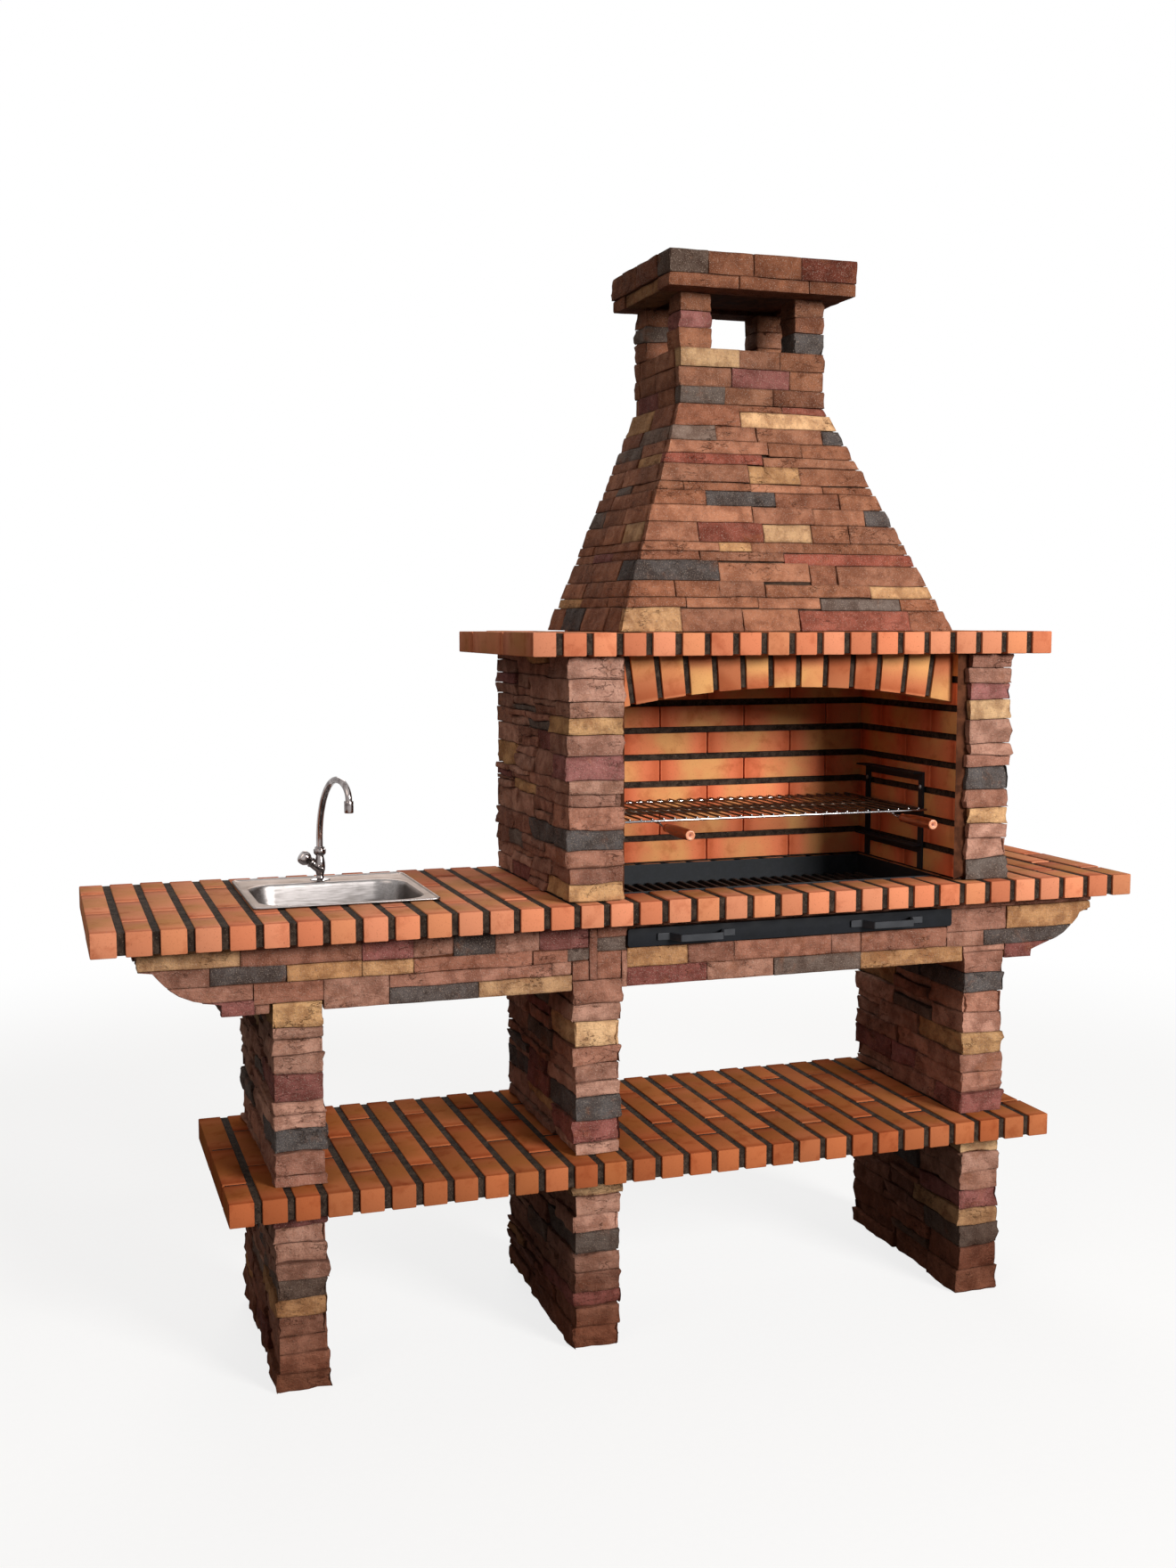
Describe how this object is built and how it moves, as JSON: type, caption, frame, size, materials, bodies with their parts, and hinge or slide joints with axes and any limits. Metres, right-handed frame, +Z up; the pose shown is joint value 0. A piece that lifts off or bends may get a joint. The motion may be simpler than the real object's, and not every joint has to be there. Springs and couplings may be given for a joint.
{
  "type": "outdoor masonry barbecue",
  "caption": "Stone-faced garden barbecue with a brick worktop, sink and tap, brick-lined firebox, sliding grill, ash drawer, hood and chimney.",
  "frame": {"origin": "on the ground, under the middle of the bounding box", "axes": "+Z up, -Y towards the cook at the front, +X to the right seen from the front"},
  "size_m": [2.1316, 0.596, 2.1783],
  "materials": {
    "stone_facing": "rough split cast stone in browns, tan, grey and maroon",
    "brick": "fired orange clay with yellow flashing, dark recessed mortar",
    "firebrick": "fired clay lining bricks with dark joints",
    "tray_steel": "satin black stove enamel",
    "rack_steel": "matt black",
    "grate_iron": "raw dark iron",
    "runner_steel": "bare galvanised steel",
    "zinc": "zinc plated",
    "grill_chrome": "bright plated wire",
    "handle_wood": "turned wood, red-brown gloss varnish",
    "stainless": "satin stainless steel",
    "waste_plastic": "moulded grey plastic",
    "tap_chrome": "polished chrome plate"
  },
  "bodies": {
    "stand": {"left_lower_leg": "stone_facing", "middle_lower_leg": "stone_facing", "right_lower_leg": "stone_facing", "left_upper_leg": "stone_facing", "middle_upper_leg": "stone_facing", "right_upper_leg": "stone_facing", "shelf_slab": "brick", "left_base_unit": "stone_facing", "right_base_unit": "stone_facing", "left_worktop_slab": "brick", "right_worktop_slab": "brick", "left_side_wall": "stone_facing", "right_side_wall": "stone_facing", "back_wall": "stone_facing", "back_brick_lining": "firebrick", "left_brick_lining": "firebrick", "right_brick_lining": "firebrick", "brick_arch_lintel": "firebrick", "mantel_slab": "brick", "smoke_hood": "stone_facing", "chimney_base": "stone_facing", "chimney_left_front_post": "stone_facing", "chimney_right_front_post": "stone_facing", "chimney_left_rear_post": "stone_facing", "chimney_right_rear_post": "stone_facing", "chimney_cap": "stone_facing", "fire_tray": "tray_steel", "left_drawer_runner": "runner_steel", "right_drawer_runner": "runner_steel", "left_grill_rack": "rack_steel", "right_grill_rack": "rack_steel", "left_rack_front_screw": "zinc", "left_rack_rear_screw": "zinc", "right_rack_front_screw": "zinc", "right_rack_rear_screw": "zinc", "sink_bowl": "stainless", "sink_waste_flange": "stainless", "sink_waste_nut": "waste_plastic", "sink_waste_tail": "waste_plastic", "left_sink_clip": "zinc", "right_sink_clip": "zinc", "tap_body": "tap_chrome", "tap_base_flange": "tap_chrome", "tap_back_nut": "zinc", "tap_collar_nut": "tap_chrome"},
    "ash_drawer": {"ash_drawer_pan": "tray_steel", "ash_drawer_front": "tray_steel", "left_drawer_handle": "tray_steel", "right_drawer_handle": "tray_steel"},
    "grill": {"grill_grid": "grill_chrome", "left_handle_stem": "grill_chrome", "right_handle_stem": "grill_chrome", "left_wooden_grip": "handle_wood", "right_wooden_grip": "handle_wood"},
    "charcoal_grate": {"charcoal_grate": "grate_iron"},
    "tap_spout": {"tap_spout": "tap_chrome", "tap_aerator": "tap_chrome"},
    "tap_knob": {"tap_knob": "tap_chrome", "tap_spindle": "tap_chrome"}
  },
  "joints": [
    {"name": "ash_drawer_slide", "type": "slide", "parent": "stand", "child": "ash_drawer", "axis": [0, -1, 0], "range_m": [0, 0.33]},
    {"name": "grill_slide", "type": "slide", "parent": "stand", "child": "grill", "axis": [0, -1, 0], "range_m": [0, 0.24]},
    {"name": "charcoal_grate_lift", "type": "slide", "parent": "stand", "child": "charcoal_grate", "axis": [0, 0, 1], "range_m": [0, 0.06]},
    {"name": "tap_spout_swivel", "type": "hinge", "parent": "stand", "child": "tap_spout", "pos_m": [-0.5898, 0.207, 0.966], "axis": [0, 0, 1], "continuous": true},
    {"name": "tap_knob_turn", "type": "hinge", "parent": "stand", "child": "tap_knob", "pos_m": [-0.5898, 0.207, 0.9298], "axis": [-0.8191, 0, 0.5736], "range_deg": [0, 180]}
  ]
}
